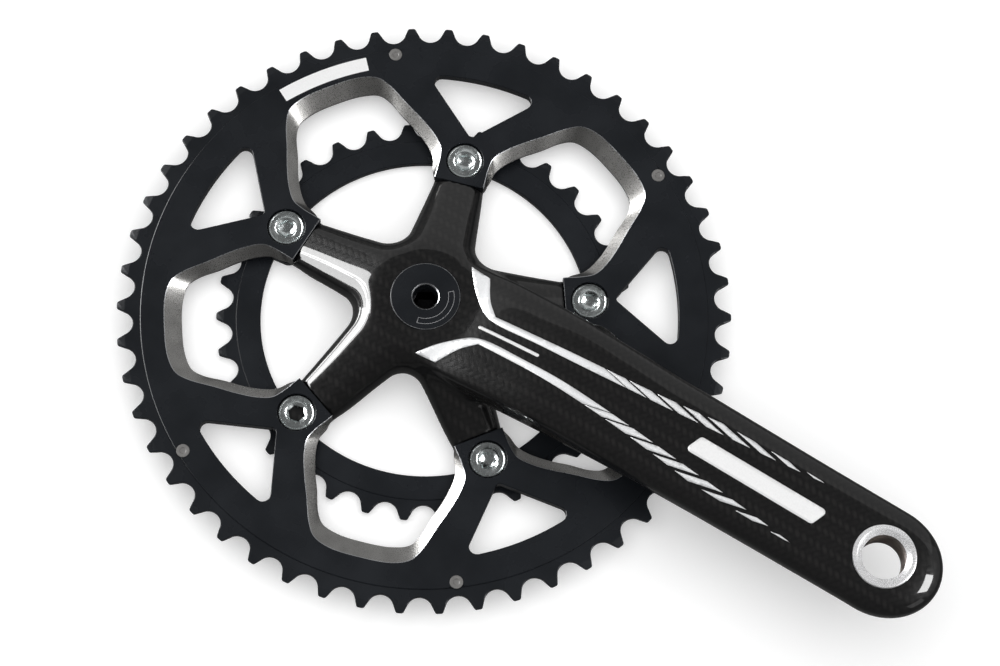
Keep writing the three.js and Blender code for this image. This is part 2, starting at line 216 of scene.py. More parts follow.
def anodised_black(name):
    """Fine satin black anodising over turned aluminium, slightly blue."""
    n = Nodes(name, Metallic=0.1, Specular_IOR_Level=0.22)
    x, y, _ = n.position()
    cloud = n.noise(60.0, 4.0)
    grain = n.noise(4200.0, 2.0)
    n.mottle(cloud, (0.0102, 0.0117, 0.0141), (0.0150, 0.0170, 0.0204))
    n.roughness(n.span(cloud, 0.3, 0.7, 0.24, 0.30))
    marks = n.turning(n.radius(x, y), 0.35, 0.12)
    n.normal(n.bump(n.math("ADD", n.math("MULTIPLY", grain, 0.6), marks), 0.012))
    return n.material


def machined(name, colour, rough, rings=0.0, metallic=1.0, coarse=1500.0, depth=0.008):
    """Bare metal. rings is the spacing of turning marks about the piece's own axis, or 0."""
    n = Nodes(name, Metallic=metallic)
    x, y, z = n.position()
    cloud = n.noise(180.0, 4.0)
    scratch = n.noise(coarse, 3.0, (1, 1, 0.15))
    n.mottle(cloud, colour, tuple(0.8 * c for c in colour), low=0.35)
    n.roughness(n.span(scratch, 0.3, 0.7, 0.75 * rough, 1.3 * rough))
    height = scratch
    if rings:
        height = n.math("ADD", height, n.turning(n.math("ADD", n.radius(x, y), z), rings, 0.6))
    n.normal(n.bump(height, depth))
    return n.material


def silver_print():
    """Pale metallic ink under the clear coat, finely flecked, and a little darker towards the arm's end."""
    n = Nodes("silver_print", Metallic=0.25, Roughness=0.42, Coat_Weight=1.0, Coat_Roughness=0.05)
    x = n.position()[0]
    fleck = n.noise(2500.0, 2.0)
    base = n.blend(n.span(x, 30.0, 140.0), (0.86, 0.87, 0.88), (0.76, 0.77, 0.78))
    n.mottle(fleck, base, (0.95, 0.95, 0.96), 0.45, 0.75)
    n.roughness(n.span(fleck, 0.3, 0.7, 0.36, 0.5))
    n.normal(n.bump(fleck, 0.004))
    return n.material


def white_print():
    n = Nodes("white_print", Roughness=0.4, Coat_Weight=1.0, Coat_Roughness=0.05)
    fleck = n.noise(1800.0, 2.0)
    n.mottle(fleck, (0.88, 0.88, 0.88), (0.93, 0.93, 0.93))
    n.normal(n.bump(fleck, 0.003))
    return n.material


def pale_floor():
    """A white lightbox panel: it glows a little, so that hardly a shadow falls on it."""
    n = Nodes("pale_floor", Roughness=0.9, Emission_Color=(1, 1, 1, 1), Emission_Strength=0.34)
    cloud = n.noise(6.0, 2.0)
    n.mottle(cloud, (0.75, 0.75, 0.75), (0.77, 0.77, 0.77))
    return n.material


CARBON = carbon_twill()
ANODISED = anodised_black("anodised_black")
CAP_BLACK = anodised_black("anodised_cap")
# Painted shade: the milled bevels' bare aluminium is given a dark grey colour, so that their reflections look
# shaded.
SHADED_BEVEL_METAL = machined("milled_aluminium", (0.36, 0.355, 0.345), 0.30, coarse=4000.0, depth=0.001)
TURNED = machined("turned_aluminium", (0.93, 0.93, 0.94), 0.26, rings=0.18, metallic=0.5,
                  coarse=4000.0, depth=0.0015)
THREAD_METAL = machined("threaded_aluminium", (0.42, 0.38, 0.36), 0.35)
PLATED = machined("zinc_plated_steel", (0.88, 0.93, 0.93), 0.24, coarse=900.0, depth=0.004)
PIN_STEEL = machined("ground_steel", (0.16, 0.155, 0.15), 0.60, metallic=0.2)
GREY_PRINT = machined("etched_grey", (0.30, 0.30, 0.31), 0.4, metallic=0.2)
BLACK_OXIDE = machined("black_oxide_steel", (0.045, 0.045, 0.05), 0.35)
BEVEL_EDGE = machined("edge_aluminium", (0.55, 0.56, 0.58), 0.30)
SILVER = silver_print()
WHITE = white_print()


# ---- Outlines ----
def polar(radius, angle):
    return np.array([radius * math.cos(angle), radius * math.sin(angle)])


def rotated(points, angle):
    c, s = math.cos(angle), math.sin(angle)
    return np.asarray(points, float) @ np.array([[c, s], [-s, c]])


def around(radius, angles):
    """Points about the origin, at one radius or at a radius for each angle."""
    return np.column_stack([radius * np.cos(angles), radius * np.sin(angles)])


def arc(centre, radius, start, stop, count):
    """Points from start to stop, both included."""
    return np.array(centre) + around(radius, np.linspace(start, stop, count))


def circle(radius, count, centre=(0, 0), hole=False):
    points = arc(centre, radius, 0, 2 * math.pi, count + 1)[:-1]
    return points[::-1] if hole else points


def spline(knots, per_span):
    """A smooth open curve through the knots: a centripetal Catmull-Rom spline."""
    knots = np.asarray(knots, float)
    padded = np.vstack([2 * knots[0] - knots[1], knots, 2 * knots[-1] - knots[-2]])
    curve = []
    for p0, p1, p2, p3 in zip(padded, padded[1:], padded[2:], padded[3:]):
        t1 = np.linalg.norm(p1 - p0) ** 0.5
        t2 = t1 + np.linalg.norm(p2 - p1) ** 0.5
        t3 = t2 + np.linalg.norm(p3 - p2) ** 0.5
        for t in np.linspace(t1, t2, per_span, endpoint=False):
            a1 = p0 + (p1 - p0) * t / t1
            a2 = p1 + (p2 - p1) * (t - t1) / (t2 - t1)
            a3 = p2 + (p3 - p2) * (t - t2) / (t3 - t2)
            b1 = a1 + (a2 - a1) * t / t2
            b2 = a2 + (a3 - a2) * (t - t1) / (t3 - t1)
            curve.append(b1 + (b2 - b1) * (t - t1) / (t2 - t1))
    curve.append(knots[-1])
    return np.array(curve)


def rounded(corners, radii, steps=6):
    """A closed outline whose corners are rounded by arcs."""
    corners = np.asarray(corners, float)
    points = []
    for before, corner, after, radius in zip(np.roll(corners, 1, 0), corners, np.roll(corners, -1, 0), radii):
        a = (before - corner) / np.linalg.norm(before - corner)
        b = (after - corner) / np.linalg.norm(after - corner)
        half = math.acos(np.clip(a @ b, -1, 1)) / 2
        reach = radius / math.tan(half)
        bisector = (a + b) / np.linalg.norm(a + b)
        centre = corner + bisector * radius / math.sin(half)
        start, stop = corner + a * reach - centre, corner + b * reach - centre
        sweep = math.atan2(start[0] * stop[1] - start[1] * stop[0], start @ stop)
        first = math.atan2(start[1], start[0])
        points.append(arc(centre, radius, first, first + sweep, steps))
    return np.vstack(points)


def inset(points, distance):
    """Every point moved to the left of the outline's direction, which is into the material."""
    after = np.roll(points, -1, 0) - points
    before = points - np.roll(points, 1, 0)
    unit = lambda v: v / np.maximum(np.linalg.norm(v, axis=1, keepdims=True), 1e-9)
    left = lambda v: np.column_stack([-v[:, 1], v[:, 0]])
    n1, n2 = left(unit(before)), left(unit(after))
    mean = unit(n1 + n2)
    stretch = 1 / np.maximum((mean * n1).sum(1), 0.5)
    return points + mean * (distance * stretch)[:, None]


def inside(points, outline):
    """Which points lie inside a closed outline."""
    x, y = points[:, :1], points[:, 1:2]
    x1, y1 = outline[:, 0], outline[:, 1]
    x2, y2 = np.roll(x1, -1), np.roll(y1, -1)
    spans = (y1 > y) != (y2 > y)
    safe = np.where(y2 == y1, 1e-12, y2 - y1)
    crossing = x < (x2 - x1) * (y - y1) / safe + x1
    return (spans & crossing).sum(1) % 2 == 1


# ---- Meshes ----
class Shape:
    """Vertices and faces in millimetres, put together ring by ring."""

    def __init__(self):
        self.points = []
        self.faces = []
        self.slots = []
        self.smooth = []

    def ring(self, outline, height):
        """Adds an outline at one height, or at a height for each point."""
        first = len(self.points)
        heights = np.broadcast_to(height, len(outline))
        self.points.extend((x, y, z) for (x, y), z in zip(outline, heights))
        return np.arange(first, first + len(outline))

    def face(self, corners, slot=0, smooth=False):
        self.faces.append([int(c) for c in corners])
        self.slots.append(slot)
        self.smooth.append(smooth)

    def strip(self, low, high, slot=0, smooth=True):
        """Quads between two closed rings, facing right of the rings' direction."""
        for a, b, c, d in zip(low, np.roll(low, -1), np.roll(high, -1), high):
            self.face((a, b, c, d), slot, smooth)

    def loft(self, rings, slot=0, smooth=True):
        """Strips from each ring to the next."""
        for low, high in zip(rings, rings[1:]):
            self.strip(low, high, slot, smooth)

    def fan(self, ring, tip):
        """Triangles from a ring to one vertex, facing like the ring."""
        for a, b in zip(ring, np.roll(ring, -1)):
            self.face((a, b, tip), smooth=True)

    def wall(self, outline, levels):
        """Rings of one outline, each moved in by levels' first number to its second, a height."""
        rings = [self.ring(inset(outline, move) if move else outline, height) for move, height in levels]
        self.loft(rings)
        return rings[0], rings[-1]

    def prism(self, outline, low, high, smooth=True):
        """A closed upright prism."""
        bottom, top = self.ring(outline, low), self.ring(outline, high)
        self.strip(bottom, top, smooth=smooth)
        self.face(top)
        self.face(bottom[::-1])

    def lathe(self, profile, count):
        """Rings at each (radius, height) of a profile, joined by strips."""
        rings = [self.ring(circle(radius, count), height) for radius, height in profile]
        self.loft(rings)
        return rings

    def cap(self, boundary, holes=(), up=True, slot=0):
        """Fills the plane between rings of vertices: one outer ring and any holes."""
        loops = [np.asarray(boundary), *[np.asarray(h) for h in holes]]
        index = np.concatenate(loops)
        flat = [Vector(self.points[i][:2]) for i in index]
        edges, first = [], 0
        for loop in loops:
            count = len(loop)
            edges += [(first + i, first + (i + 1) % count) for i in range(count)]
            first += count
        places, _, triangles, origin, _, _ = delaunay_2d_cdt(flat, edges, [], 0, 1e-7)
        where = [index[o[0]] if o else None for o in origin]
        triangles = [t for t in triangles if all(where[i] is not None for i in t)]
        middles = np.array([np.mean([places[i] for i in t], axis=0) for t in triangles])
        xy = np.array([p[:2] for p in self.points])
        keep = inside(middles, xy[loops[0]])
        for hole in loops[1:]:
            keep &= ~inside(middles, xy[hole])
        for triangle, kept in zip(triangles, keep):
            if kept:
                corners = [where[i] for i in triangle]
                self.face(corners if up else corners[::-1], slot)

    def mesh(self, name, materials):
        made = bpy.data.meshes.new(name)
        made.from_pydata([tuple(MM * c for c in p) for p in self.points], [], self.faces)
        for material in materials:
            made.materials.append(material)
        made.polygons.foreach_set("material_index", self.slots)
        made.polygons.foreach_set("use_smooth", self.smooth)
        made.update()
        return made


def added(name, data):
    """A new object in the scene."""
    made = bpy.data.objects.new(name, data)
    bpy.context.scene.collection.objects.link(made)
    return made


def place(mesh, name, body, nodes, slot, matrix=None):
    """Puts a mesh in the scene as the piece that stands for CAD nodes."""
    piece = added(name, mesh)
    if matrix is not None:
        piece.matrix_world = matrix
    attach(piece, body)
    if nodes:
        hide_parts(*nodes)
    return piece


def on_circle(radius, angle):
    """A matrix that puts a piece on a circle about the crank axis."""
    return Matrix.Rotation(angle, 4, "Z") @ Matrix.Translation((radius * MM, 0, 0))


def place_round(mesh, name, node, radius, angles, twist=(0, 0)):
    """Copies of a plated steel piece round a circle, each turned about its own axis."""
    for k, angle in enumerate(angles):
        spin = Matrix.Rotation(twist[0] + twist[1] * k, 4, "Z")
        place(mesh, f"{name}_{k + 1}", CRANK, [f"{node}_{k + 1}"], "plated_steel",
              on_circle(radius, angle) @ spin)


def sharpened(mesh, degrees):
    """Smooth shading, with creases wherever two faces meet at more than the angle."""
    mesh.shade_smooth()
    mesh.set_sharp_from_angle(angle=math.radians(degrees))
    return mesh


# ---- Chainrings ----
def tooth_outline(ring):
    """The toothed edge, anticlockwise, and for each point whether it is on a tooth's tip."""
    teeth, tip, chamfer_from = ring["teeth"], ring["tip"], ring["chamfer_from"]
    pitch_radius = CHAIN_PITCH / 2 / math.sin(math.pi / teeth)
    land = 1.15
    points, tips = [], []
    for k in range(teeth):
        valley = math.radians(ring["valley"]) + 2 * math.pi * k / teeth
        centre = polar(pitch_radius, valley)
        seat = arc(centre, ROLLER_SEAT, valley + math.pi + SEAT_SWEEP, valley + math.pi - SEAT_SWEEP, 15)
        tooth = valley + math.pi / teeth
        across = np.array([-math.sin(tooth), math.cos(tooth)])
        corners = [polar(tip, tooth) - across * land, polar(tip, tooth) + across * land]
        next_start = rotated(seat[:1], 2 * math.pi / teeth)[0]
        rise = on_flank(seat[-1], corners[0], chamfer_from)
        fall = on_flank(next_start, corners[1], chamfer_from)
        nose = rounded([seat[-1], *corners, next_start], [0.01, 0.8, 0.8, 0.01], 4)[4:12]
        points += [*seat, rise, *nose, fall]
        tips += [False] * 16 + [True] * 8 + [False]
    return np.array(points), np.array(tips)


def on_flank(root, corner, radius):
    """The point of a straight tooth flank at the given radius."""
    low, high = 0.0, 1.0
    for _ in range(30):
        middle = (low + high) / 2
        if np.linalg.norm(root + (corner - root) * middle) < radius:
            low = middle
        else:
            high = middle
    return root + (corner - root) * low


def toothed_edge(shape, ring):
    """The teeth with their chamfered tips. Returns the front and back rings to fill from."""
    outline, tips = tooth_outline(ring)
    back, front = ring["tooth_back"], ring["tooth_front"]
    thickness = front - back
    radius = np.linalg.norm(outline, axis=1)
    share = np.clip((radius - ring["chamfer_from"]) / (ring["tip"] - ring["chamfer_from"]), 0, 1)
    drop = 0.30 * thickness * np.where(tips, share, 0)
    levels = [(EDGE, back + drop), (EDGE * 0.3, back + drop + EDGE * 0.3), (0, back + drop + EDGE),
              (0, front - drop - EDGE), (EDGE * 0.3, front - drop - EDGE * 0.3), (EDGE, front - drop)]
    low, high = shape.wall(outline, levels)
    for ring_points, up in ((low, False), (high, True)):
        for start in np.flatnonzero(tips & ~np.roll(tips, 1)):
            corners = [ring_points[(start - 1 + i) % len(outline)] for i in range(10)]
            shape.face(corners if up else corners[::-1])
    return low[~tips], high[~tips]


# Levels of a bolt hole's wall: the sleeve's bore, and the counterbore for the head.
OUTER_BOLT_HOLE = [(EDGE, 7.3), (0, 7.5), (0, 8.7), (1.15, 8.7), (1.15, 10.8), (1.3, 11.0)]
INNER_BOLT_HOLE = [(1.3, 1.0), (1.15, 1.2), (1.15, 1.9), (0, 1.9), (0, 3.5), (EDGE, 3.7)]


def bolt_walls(shape, levels):
    """The walls of a ring's five bolt holes."""
    holes = [circle(SLEEVE_BORE, 48, polar(BOLT_CIRCLE, angle), hole=True) for angle in BOLT_ANGLES]
    return [shape.wall(hole, levels) for hole in holes]


def opening(ring):
    """Levels of an opening's wall through a ring's web, with both its edges rounded."""
    back, front = ring["back"], ring["front"]
    return [(EDGE, back), (0, back + EDGE), (0, front - EDGE), (EDGE, front)]


# Half of a window between two spokes: its front edge and its back edge, measured along and
# across the line from the crank axis through the window's middle.
WINDOW_FRONT = [(86.3, 0), (85.6, 10.5), (83.3, 16), (79.5, 18.6), (70.7, 21.8),
                (64.3, 24.2), (57.7, 26.1), (52.4, 26.5), (48.7, 24.8), (42.9, 20.6)]
WINDOW_BACK = [(80.8, 0), (80.2, 9), (78.2, 14.6), (74.5, 17.1), (67.5, 19.3),
               (60.9, 21.7), (54.3, 23.1), (50.1, 23), (46.2, 21.4), (42.9, 20.6)]


def window_side(half):
    """One whole window's edge, from the tab end on one side round to the other."""
    mirrored = [(x, -y) for x, y in half[:0:-1]]
    return spline(mirrored + list(half), 7)


def star_outline(half):
    """The ring's inner edge: five windows joined by the straight ends of the tabs."""
    side = window_side(half)
    return np.vstack([rotated(side, k * SECTOR) for k in range(ARMS)])


def spoke_window():
    """The three-cornered window inside a spoke, on the bolt's line, as a hole."""
    rim = 84.6
    corner = rim * np.array([math.cos(0.235), math.sin(0.235)])
    arc_points = arc((0, 0), rim, -0.175, 0.175, 14)
    upper = rounded([arc_points[-1], corner, (63.4, 0)], [0.01, 2.6, 0.01], 7)[7:14]
    nose = rounded([(corner[0], corner[1]), (63.4, 0), (corner[0], -corner[1])], [0.01, 1.6, 0.01], 8)[8:16]
    lower = (upper * (1, -1))[::-1]
    return np.vstack([lower, arc_points, upper, nose])[::-1]


def toothed_rim(shape, ring, count, front_step):
    """Teeth, and the step from them up to the web. Returns the web's front and back rings."""
    tooth_low, tooth_high = toothed_edge(shape, ring)
    rim = circle(ring["step"], count)
    foot_front, web_front = shape.wall(rim, [(0, ring["tooth_front"]), *front_step])
    web_back, foot_back = shape.wall(rim, [(0.3, ring["back"]), (0, ring["tooth_back"])])
    shape.cap(tooth_high, [foot_front])
    shape.cap(tooth_low, [foot_back], up=False)
    return web_front, web_back


def web(shape, faces, walls):
    """Fills a ring's front and back faces between its rim and the walls of its openings."""
    low, high = zip(*walls)
    shape.cap(faces[0], high)
    shape.cap(faces[1], low, up=False)


def outer_chainring():
    shape = Shape()
    back, front = OUTER["back"], OUTER["front"]
    faces = toothed_rim(shape, OUTER, 240, [(0.12, 10.85), (0.32, front)])
    inner_back, inner_front = star_outline(WINDOW_BACK)[::-1], star_outline(WINDOW_FRONT)[::-1]
    rings = [shape.ring(inset(inner_back, EDGE), back), shape.ring(inner_back, back + EDGE),
             shape.ring(inner_back, BEVEL_FOOT), shape.ring(inner_front, front - 0.12),
             shape.ring(inset(inner_front, EDGE), front)]
    tab_end = np.linalg.norm(np.roll(inner_front, -1, 0) - inner_front, axis=1) > 8
    for slot, (a, b) in zip((0, 2, 2, 1), zip(rings, rings[1:])):
        first = len(shape.slots)
        shape.strip(a, b, slot)
        for i in np.flatnonzero(tab_end):
            shape.slots[first + i] = 0
    windows = [shape.wall(rotated(spoke_window(), angle), opening(OUTER)) for angle in BOLT_ANGLES]
    walls = [(rings[0], rings[-1]), *windows, *bolt_walls(shape, OUTER_BOLT_HOLE)]
    round_holes = [(PIN_CIRCLE, angle, 2.28) for angle in PIN_ANGLES] + [(DROP_PIN_CIRCLE, 0, 1.6)]
    for radius, angle, size in round_holes:
        hole = circle(size, 28, polar(radius, angle), hole=True)
        walls.append(shape.wall(hole, [(0, back), (0, front)]))
    web(shape, faces, walls)
    mesh = sharpened(shape.mesh("outer_ring", [ANODISED, BEVEL_EDGE, SHADED_BEVEL_METAL]), 11)
    place(mesh, "outer_ring", CRANK, ["outer_chainring"], "black_anodised")


def inner_edge():
    """The inner ring's inside: its hole with five tabs standing in, clockwise."""
    half_width, end = 8.5, 47.5
    start = math.atan2(9.5, 54.2)
    points = []
    for angle in BOLT_ANGLES:
        gap = arc((0, 0), INNER_HOLE, -SECTOR + start, -start, 30)
        corners = [gap[-1], (end, -half_width), (end, half_width), gap[-1] * (1, -1)]
        tab = rounded(corners, [0.01, 3, 3, 0.01], 7)[7:21]
        points.append(rotated(np.vstack([gap, tab]), angle))
    return np.vstack(points)[::-1]


def inner_chainring():
    shape = Shape()
    faces = toothed_rim(shape, INNER, 200, [(0.3, INNER["front"])])
    web(shape, faces, [shape.wall(inner_edge(), opening(INNER)), *bolt_walls(shape, INNER_BOLT_HOLE)])
    mesh = sharpened(shape.mesh("inner_ring", [ANODISED]), 11)
    place(mesh, "inner_ring", CRANK, ["inner_chainring"], "black_anodised")


outer_chainring()
inner_chainring()


# ---- Carbon body ----
def natural_cubic(stations):
    """A smooth function through (place, value) stations, flat beyond both ends."""
    xs, ys = np.array(stations, float).T
    h = np.diff(xs)
    system = np.zeros((len(xs), len(xs)))
    right = np.zeros(len(xs))
    system[0, 0] = system[-1, -1] = 1
    for i in range(1, len(xs) - 1):
        system[i, i - 1:i + 2] = h[i - 1], 2 * (h[i - 1] + h[i]), h[i]
        right[i] = 6 * ((ys[i + 1] - ys[i]) / h[i] - (ys[i] - ys[i - 1]) / h[i - 1])
    bend = np.linalg.solve(system, right)

    def value(x):
        x = np.clip(x, xs[0], xs[-1])
        i = np.clip(np.searchsorted(xs, x) - 1, 0, len(h) - 1)
        a, b = xs[i + 1] - x, x - xs[i]
        return ((bend[i] * a ** 3 + bend[i + 1] * b ** 3) / (6 * h[i])
                + (ys[i] / h[i] - bend[i] * h[i] / 6) * a
                + (ys[i + 1] / h[i] - bend[i + 1] * h[i] / 6) * b)

    return value


def round_max(a, b, radius):
    """The intersection of two solids, its edge rounded to the radius."""
    outside = np.hypot(np.maximum(a + radius, 0), np.maximum(b + radius, 0))
    return np.minimum(-radius, np.maximum(a, b)) + outside


def round_min(a, b, radius):
    """The union of two solids, with a fillet of the radius between them."""
    return -round_max(-a, -b, radius)


# The spider's flat hub falls away to its arms' ends along a cone. Its underside rises to the hub.
CONE = dict(top=HUB_TOP, from_radius=18, slope=0.52, blend=3.2)
SPIDER_BOTTOM = natural_cubic([(0, 14), (19.7, 14), (25.3, 13), (30, 11), (35, 8.3), (41, 5), (47, 4)])
SPIDER_SHOULDER = natural_cubic([(0, 7.2), (22, 7.2), (34, 7), (46, 5.4)])
SPIDER_END = 46.5
TAPER = dict(at_axis=14.05, slope=0.118)
SPIDER_FILLET = 8
TAB_RADIUS = 8.5
TAB_START = 38

# Crank arm: distance from the crank axis against half width, face and underside.
ARM_HALF = natural_cubic([(6, 17), (14, 19.2), (22, 19.8), (34, 19.6), (48, 19.3), (62, 19), (85, 18.5),
                          (115, 18), (145, 17.7), (165, 17.6)])
ARM_FACE = natural_cubic([(6, 24.5), (14, 26.6), (22, 29.6), (34, 33.4), (48, 37), (62, 38.8), (85, 39.8),
                          (115, 40.4), (145, 40.8), (165, 41.2)])
ARM_UNDER = natural_cubic([(6, 14.5), (14, 14.2), (22, 14.4), (34, 16), (48, 18.4), (62, 20.6), (85, 23.4),
                           (115, 25.8), (145, 27.4), (165, 28.6)])
ARM_END = 19.9
ARM_FULLNESS = natural_cubic([(14, 5.5), (40, 5), (62, 3.8), (85, 3)])  # the section's superellipse exponent


def arm_axes(x, y):
    """Distances along and across each of the spider's arms."""
    for angle in BOLT_ANGLES:
        c, s = math.cos(angle), math.sin(angle)
        yield x * c + y * s, y * c - x * s


def spider_field(x, y, z):
    sides, reach = [], []
    for s, t in arm_axes(x, y):
        strip = (np.abs(t) - TAPER["at_axis"] + TAPER["slope"] * s) / math.hypot(1, TAPER["slope"])
        sides.append(np.maximum(strip, -s))
        reach.append(s)
    nearest = np.sort(np.stack(sides), axis=0)
    plan = round_min(nearest[0], nearest[1], SPIDER_FILLET)
    along = np.max(np.stack(reach), axis=0)
    r = np.hypot(x, y)
    past = r - CONE["from_radius"]
    bend = np.hypot(past, CONE["blend"])
    top = CONE["top"] - CONE["slope"] * (past + bend) / 2
    slope = CONE["slope"] * (1 + past / bend) / 2
    body = round_max((z - top) / np.hypot(1, slope), plan, SPIDER_SHOULDER(r))
    body = round_max(body, (SPIDER_BOTTOM(r) - z) / 1.1, 1.5)
    return round_max(body, along - SPIDER_END, 0.3)


def tab_field(x, y, z):
    tabs = [np.maximum(np.hypot(np.maximum(s - BOLT_CIRCLE, 0), t) - TAB_RADIUS, TAB_START - s)
            for s, t in arm_axes(x, y)]
    return round_max(np.min(tabs, axis=0), np.abs(z - 5.5) - 1.5, 0.4)


def arm_field(x, y, z):
    half, face, under = ARM_HALF(x), ARM_FACE(x), ARM_UNDER(x)
    beyond = np.maximum(x - CRANK_LENGTH, 0)
    aside = np.hypot(y, beyond * half / ARM_END) / half
    depth = (face - under) / 2
    above = (z - (face + under) / 2) / depth
    power = ARM_FULLNESS(x)
    scale = np.maximum(aside ** power + np.abs(above) ** power, 0.002) ** (1 / power)
    steep = np.hypot(aside ** (power - 1) / half, np.abs(above) ** (power - 1) / depth) / scale ** (power - 1)
    section = (scale - 1) / np.maximum(steep, 0.02)
    return round_max(section, 5 - x, 1.0)


def boss_field(x, y, z):
    return round_max(np.hypot(x, y) - 18.5, np.abs(z - 9) - 8.2, 0.6)


def carbon_field(x, y, z):
    body = round_min(spider_field(x, y, z), arm_field(x, y, z), 3.0)
    body = round_min(body, boss_field(x, y, z), 1.5)
    return np.minimum(body, tab_field(x, y, z))


def gradient(field, p, gap=0.02):
    steps = gap * np.eye(3)
    return np.column_stack([(field(*(p + s).T) - field(*(p - s).T)) / (2 * gap) for s in steps])


def surface_net(field, low, high, step):
    """Quads on a field's zero surface, one vertex for each grid cell that it passes through."""
    axes = [np.arange(a, b + step, step) for a, b in zip(low, high)]
    values = np.empty([len(a) for a in axes])
    grid_y, grid_z = np.meshgrid(axes[1], axes[2], indexing="ij")
    for i, x in enumerate(axes[0]):
        values[i] = field(np.full_like(grid_y, x), grid_y, grid_z)
    solid = values < 0
    count = np.zeros([n - 1 for n in values.shape], int)
    corners = [(i, j, k) for i in (0, 1) for j in (0, 1) for k in (0, 1)]
    cut = lambda array, c: array[c[0]:array.shape[0] - 1 + c[0], c[1]:array.shape[1] - 1 + c[1],
                                 c[2]:array.shape[2] - 1 + c[2]]
    for c in corners:
        count += cut(solid, c)
    cells = np.argwhere((count > 0) & (count < 8))
    number = np.full(count.shape, -1)
    number[tuple(cells.T)] = np.arange(len(cells))
    total, crossings = np.zeros((len(cells), 3)), np.zeros(len(cells))
    for a in corners:
        for axis in range(3):
            if a[axis]:
                continue
            b = tuple(a[i] + (i == axis) for i in range(3))
            va = values[tuple((cells + a).T)]
            vb = values[tuple((cells + b).T)]
            crosses = (va < 0) != (vb < 0)
            share = np.where(crosses, va / np.where(crosses, va - vb, 1), 0)
            point = np.array(a, float) + share[:, None] * np.eye(3)[axis]
            total += np.where(crosses[:, None], point, 0)
            crossings += crosses
    places = (cells + total / crossings[:, None]) * step + np.array(low)
    quads = []
    for axis in range(3):
        one, two = (axis + 1) % 3, (axis + 2) % 3
        ahead = np.take(solid, range(1, solid.shape[axis]), axis)
        behind = np.take(solid, range(0, solid.shape[axis] - 1), axis)
        for leaving in (True, False):
            edges = np.argwhere((behind & ~ahead) if leaving else (~behind & ahead))
            ok = (edges[:, one] > 0) & (edges[:, two] > 0)
            ok &= (edges[:, one] < solid.shape[one] - 1) & (edges[:, two] < solid.shape[two] - 1)
            edges = edges[ok]
            e1, e2 = np.eye(3, dtype=int)[one], np.eye(3, dtype=int)[two]
            around = [edges - e1 - e2, edges - e2, edges, edges - e1]
            quad = np.column_stack([number[tuple(c.T)] for c in around])
            quads.append(quad if leaving else quad[:, ::-1])
    return places, np.vstack(quads)


def surface_step(field, points):
    """The field's slope, its square, and how many slopes each point is off the surface."""
    slope = gradient(field, points)
    size = np.maximum((slope ** 2).sum(1), 1e-6)
    return slope, size, field(*points.T) / size


def settle(field, points, quads, rounds=6):
    """Evens out the mesh along the surface and puts every vertex exactly on it."""
    ends = np.vstack([quads[:, [i, (i + 1) % 4]] for i in range(4)])
    ends = np.vstack([ends, ends[:, ::-1]])
    degree = np.bincount(ends[:, 0], minlength=len(points))
    for _ in range(rounds):
        slope, size, miss = surface_step(field, points)
        points = points - miss[:, None] * slope
        normal = slope / np.sqrt(size)[:, None]
        near = points[ends[:, 1]]
        mean = np.column_stack([np.bincount(ends[:, 0], near[:, c], len(points)) for c in range(3)])
        drift = mean / degree[:, None] - points
        drift -= (drift * normal).sum(1)[:, None] * normal
        points = points + 0.5 * drift
    for _ in range(3):
        slope, _, miss = surface_step(field, points)
        points = points - np.clip(miss, -0.3, 0.3)[:, None] * slope
    return points


def drill(piece, radius, low, high, centre=(0, 0), segments=128):
    """Cuts a round hole on Z."""
    shape = Shape()
    shape.prism(circle(radius, segments, centre), low, high)
    tool = added("tool", shape.mesh("tool", []))
    cut = piece.modifiers.new("cut", "BOOLEAN")
    cut.operation = "DIFFERENCE"
    cut.object = tool
    cut.solver = "EXACT"
    return tool


def bake_modifiers(piece):
    """Replaces the mesh by what its modifiers make of it."""
    view = bpy.context.evaluated_depsgraph_get()
    made = bpy.data.meshes.new_from_object(piece.evaluated_get(view))
    piece.modifiers.clear()
    piece.data = made


GRID_LOW = (-54, -54, -0.5)
GRID_HIGH = (192, 54, 43)
GRID_STEP = 0.8


def carbon_body():
    points, quads = surface_net(carbon_field, GRID_LOW, GRID_HIGH, GRID_STEP)
    points = settle(carbon_field, points, quads)
    mesh = bpy.data.meshes.new("carbon_body")
    mesh.from_pydata((points * MM).tolist(), [], quads.tolist())
    mesh.materials.append(CARBON)
    mesh.update()
    piece = added("carbon_body", mesh)
    tools = [drill(piece, INSERT_RADIUS + 0.1, -2, 23.5), drill(piece, CAP_RADIUS + 0.12, 20, 40),
             drill(piece, PEDAL["radius"] + 0.08, 20, 50, (CRANK_LENGTH, 0))]
    tools += [drill(piece, SLEEVE_BORE, 2, 8, polar(BOLT_CIRCLE, angle), 48) for angle in BOLT_ANGLES]
    bpy.context.view_layer.update()
    bake_modifiers(piece)
    for tool in tools:
        bpy.data.objects.remove(tool)
    sharpened(piece.data, 38)
    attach(piece, CRANK)
    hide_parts("crank_arm")
    return piece


body = carbon_body()


# ---- Prints under the clear coat ----
PRINT_LIFT = 0.05  # a print's face stands this far above the carbon, and its back lies sunk in it
PRINT_SINK = 0.25


def draped(name, outlines, material, tree):
    """A thin closed print in one or more patches, whose outlines lie on the surface below."""
    shape = Shape()
    for outline in outlines:
        patch(shape, sampled(outline), tree)
    return place(shape.mesh(name, [material]), name, CRANK, [], "silver_print")


